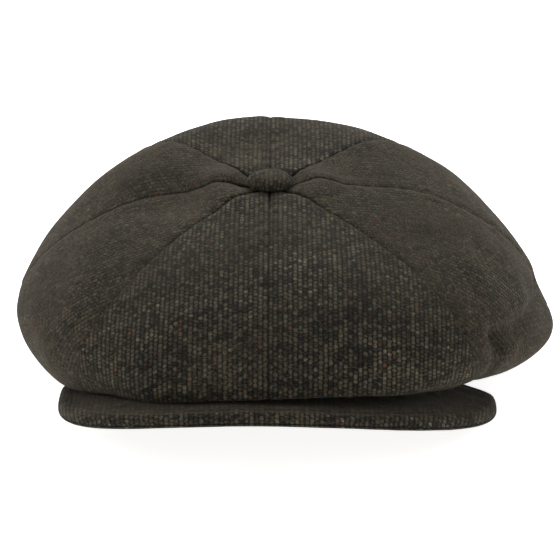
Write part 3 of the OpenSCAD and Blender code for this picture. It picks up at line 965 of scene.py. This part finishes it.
def visorFace(inner, outline, width, out, side):
    # Flat rows from the band out to where the edge begins to round, then a quarter ellipse down to the
    # seam. side is 1 for the top cover and -1 for the under cover
    look = visor["top"] if side > 0 else visor["under"]
    round_ = np.minimum(look["round"], 0.7 * width)[None, :, None]
    start = outline[None] - out[None] * round_
    t = linspace(0, 1, visor["rows"])[:, None, None]
    flat = inner[None] + (start - inner[None]) * t
    turn = linspace(0, np.pi / 2, visor["edgeRows"] + 1)[1:, None, None]
    edge = start + out[None] * round_ * np.sin(turn)
    plan = join([flat, edge])
    drop = join([np.zeros((visor["rows"], 1, 1)), 1 - np.cos(turn)]) * look["tall"]
    z = visorTop(plan[..., 0], plan[..., 1])
    if side < 0:
        z = z - visor["thickness"]
    away = np.linalg.norm(plan - outline[None], axis=-1)
    level = join([plan, 0 * plan[..., :1]], -1)
    relief = sum(height * softWaves(level, length, seed) for height, length, seed in visor["waves"])
    groove = np.exp(-(((away - look["grooveAt"]) / visor["grooveWidth"]) ** 2))
    relief -= look["groove"] * groove * (drop[..., 0] == 0)
    fade = np.clip(np.minimum(away, width[None] * 0.5) / visor["calmEdge"], 0, 1)
    z = z - side * drop[..., 0] + side * relief * fade
    beyond = turn * (look["round"] + look["tall"]) / 2 - np.sin(turn) * look["round"]
    arcs = join([np.zeros((visor["rows"], 1, 1)), beyond])
    uv = plan + out[None] * arcs
    return join([plan, z[..., None]], -1), uv


def makeVisor(finish):
    # Both covers, each thickened inwards along its normals, with painted shadow on the top cover where the crown
    # lies over it
    inner, outline, width, out = visorGrid()
    middle = visor["columns"] // 2
    for name, side in (("visor_top_cover", 1), ("visor_under_cover", -1)):
        face, uv = visorFace(inner, outline, width, out, side)
        normal = gridNormal(face)
        normal = normal * np.sign(normal[5:6, middle:middle + 1, 2:3]) * side
        back = face - normal * visor["cloth"]
        bearing = np.arctan2(face[..., 0] - apex[0], apex[1] - face[..., 1])
        over = crown["reach"] * around(crown["reachShare"], bearing)
        # Painted shadow on the top cover where the crown's front hangs over it; the last two rows darken the seam
        # round the edge
        covered = np.clip((over + visor["shadeReach"] - fromAxis(face)) / visor["shadeFade"], 0, 1)
        shade = visor["shade"] * covered * (side > 0)
        shade[-1] = 1.0
        shade[-2] = 0.4
        if side > 0:
            face, back, uv, shade = face[:, ::-1], back[:, ::-1], uv[:, ::-1], shade[:, ::-1]
        away = np.linalg.norm(face[..., :2] - outline[None, ::-side], axis=-1)
        nap = felted["fore"] + felted["visor"] * np.clip((away - 3) / 4, 0, 1)
        thing = addShell(name, face, back, uv, {"seamShade": shade, "nap": nap})
        wear(thing, finish, "visor", [name])
        cloth(face, uv)
        if side > 0:
            hairSpots.append((face[6:], gridNormal(face)[6:], "visor"))
    print("visor covers made")


def makeBoard(finish):
    # Plate between the covers: rows from just ahead of the band to a little inside the outline
    inner, outline, width, out = visorGrid()
    inset = np.minimum(visor["boardInset"], 0.4 * width)[:, None]
    ahead = (outline - inner) / width[:, None]
    start, end = inner + ahead * np.minimum(inset, visor["boardAhead"]), outline - out * inset
    t = linspace(0, 1, visor["boardRows"])[:, None, None]
    plan = (start[None] + (end - start)[None] * t)[:, ::-1]
    top = visorTop(plan[..., 0], plan[..., 1]) - visor["boardTop"]
    upper = join([plan, top[..., None]], -1)
    board = addShell("visor_board", upper, upper - [0, 0, visor["boardThick"]], plan)
    wear(board, finish, "visor", ["visor_board"])


button = {
    "dome": 0.80, "flat": 0.92, "rim": 1.1, "turned": 2.9, "size": 90, "cloth": 0.95, "inset": 0.12,
    "pleats": 13, "pleat": 0.16, "pleatFrom": 0.62,
    "lump": (0.22, 9, 61),  # height, wavelength, seed
}


def makeButton(finish):
    # Square grid laid on a disc, then on a dome of revolution: over the top, round the rim and under
    radius = (buttonHigh[0] - buttonLow[0]) / 2
    tall = buttonHigh[2] - buttonLow[2]
    psi = linspace(0, np.pi / 2, 200)
    r = radius * np.sin(psi) ** button["dome"]
    z = button["rim"] + (tall - button["rim"]) * np.cos(psi) ** button["flat"]
    turn = linspace(0, np.pi / 2, 40)[1:]
    r = join([r, radius - button["rim"] * (1 - np.cos(turn)), [radius - button["turned"]]])
    z = join([z, button["rim"] * (1 - np.sin(turn)), [0.0]])
    far = join([[0], np.cumsum(np.hypot(np.diff(r), np.diff(z)))])
    a, b = np.meshgrid(linspace(-1, 1, button["size"]), linspace(-1, 1, button["size"]), indexing="ij")
    px, py = a * np.sqrt(1 - b * b / 2), b * np.sqrt(1 - a * a / 2)
    rho = np.clip(np.hypot(px, py), 1e-6, 1)
    theta = np.arctan2(py, px)
    arc = rho * far[-1]
    rr, zz = np.interp(arc, far, r), np.interp(arc, far, z)
    nr, nz = np.gradient(z, far), np.gradient(r, far)
    outR, outZ = -np.interp(arc, far, nr), np.interp(arc, far, nz)
    size = np.hypot(outR, outZ)
    outR, outZ = outR / size, outZ / size
    flat = np.stack([rr * np.cos(theta), rr * np.sin(theta), zz], -1)
    low = np.clip((rr - button["pleatFrom"] * radius) / ((1 - button["pleatFrom"]) * radius), 0, 1)
    push = button["pleat"] * np.sin(button["pleats"] * theta + 1.3) * low
    high, length, seed = button["lump"]
    push += high * softWaves(flat, length, seed) * np.clip(1 - (arc / far[-1]) ** 6, 0, 1)
    push = np.where(zz < 0.3, np.minimum(push, 0), push) - button["inset"]
    outer, inner = (np.stack([(rr + outR * p) * np.cos(theta), (rr + outR * p) * np.sin(theta), zz + outZ * p], -1)
            for p in (push, -button["cloth"]))
    place = np.array([apex[0], apex[1], buttonLow[2]])
    uv = np.stack([rho * far[-1] * np.cos(theta), rho * far[-1] * np.sin(theta)], -1)
    looks = {"seamShade": 0 * rho, "nap": 0 * rho + 0.5}
    cover = addShell("button_cover", outer[::-1] + place, inner[::-1] + place, uv[::-1], looks)
    wear(cover, finish, "button", ["button_cover"])
    cloth(outer, uv)
    print("button made")


fibre = {
    "bend": {"count": 5600, "seed": 77}, "visor": {"count": 800, "seed": 78}, "length": (1.2, 4.6),
    "thick": 0.05, "lean": 0.55, "points": 5, "sunk": 0.2,
}


def makeFibres(finish):
    # Curved three-sided hairs: root + length * (t * lean + t^2 * droop), standing on seeded grid points
    for body in ("bend", "visor"):
        spots = [spot[:2] for spot in hairSpots if spot[2] == body]
        points, normals = (join([spot[i].reshape(-1, 3) for spot in spots]) for i in (0, 1))
        rng = np.random.default_rng(fibre[body]["seed"])
        count = fibre[body]["count"]
        radius = np.hypot(points[:, 0], points[:, 1])
        weight = np.clip(radius, 8, None) if body == "bend" else np.ones(len(points))
        pick = rng.choice(len(points), count, p=weight / weight.sum())
        root, normal = points[pick], normals[pick]
        any_ = rng.normal(size=(count, 3))
        flat = any_ - normal * (any_ * normal).sum(-1, keepdims=True)
        flat /= np.linalg.norm(flat, axis=-1, keepdims=True)
        curl = np.cross(normal, flat)
        length = rng.uniform(*fibre["length"], count) * rng.uniform(0.5, 1, count)
        rise = rng.uniform(0.12, 1.0, count) ** 1.5 * fibre["lean"]
        bend = rng.normal(0, 0.35, count)
        t = linspace(0, 1, fibre["points"])[None, :, None]
        path = (root - normal * fibre["sunk"])[:, None] + length[:, None, None] * (
            flat[:, None] * t * 0.9 + normal[:, None] * (rise[:, None, None] * t * (1.35 - 0.7 * t))
            + curl[:, None] * bend[:, None, None] * t * t)
        spin = np.array([0, 2.094, 4.189])
        wide = fibre["thick"] * (1.05 - t)[..., None]
        cos, sin = (turned[None, None, :, None] for turned in (np.cos(spin), np.sin(spin)))
        ring = cos * normal[:, None, None] + sin * curl[:, None, None]
        tube = (path[:, :, None] + ring * wide).reshape(count, -1, 3)
        side = gridFaces(fibre["points"], 3, wrap=True)
        last = (fibre["points"] - 1) * 3
        side = join([side[:, [0, 1, 2]], side[:, [0, 2, 3]], [[0, 1, 2]], [[last + 2, last + 1, last]]])
        faces = (side[None] + (np.arange(count) * tube.shape[1])[:, None, None]).reshape(-1, 3)
        shade = np.repeat(rng.uniform(0, 1, count), tube.shape[1])
        name = "crown_fibres" if body == "bend" else "visor_fibres"
        hairs = addMesh(name, tube.reshape(-1, 3), faces, attributes={"tone": shade})
        wear(hairs, finish, body)
    print("fibres made")


def dressCad():
    # Better finishes for the CAD nodes that stay
    steel = metal("steel")
    for name in ("button_shell", "button_back_plate", "button_shank", "button_washer"):
        thing = bpy.data.objects[name]
        for slot in thing.material_slots:
            slot.material = steel
        if not thing.material_slots:
            thing.data.materials.append(steel)


makeCamera()
makeLights()
wool = tweed("wool_tweed")
makeCrown(wool)
makeVisor(wool)
makeBoard(boardFinish("board"))
makeButton(wool)
makeStrip("outer_band", wool)
makeStrip("band_stiffener", canvas("canvas"))
sweatCloth = twill("sweatband_twill", (0.012, 0.011, 0.011), (0.040, 0.037, 0.035))
makeStrip("sweatband", sweatCloth)
makeSweatStitches(thread("thread"))
print("bands made")
makeLining(satin("lining_satin"))
labelCloth = twill("label_cloth", (0.42, 0.38, 0.31), (0.66, 0.62, 0.54), pitch=0.0006)
makeLabel(labelCloth)
makeSizeTab(labelCloth)
print("lining made")
makeFibres(hairFinish("fibres"))
dressCad()

ground = {"half": 4000, "gap": 0.05}
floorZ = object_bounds()[0][2] / mm - ground["gap"]
corners = [(x * ground["half"], y * ground["half"], floorZ) for x, y in ((-1, -1), (1, -1), (1, 1), (-1, 1))]
floor = addMesh("floor", np.array(corners), np.array([[0, 1, 2, 3]]))
floor.data.materials.append(floorFinish("paper"))
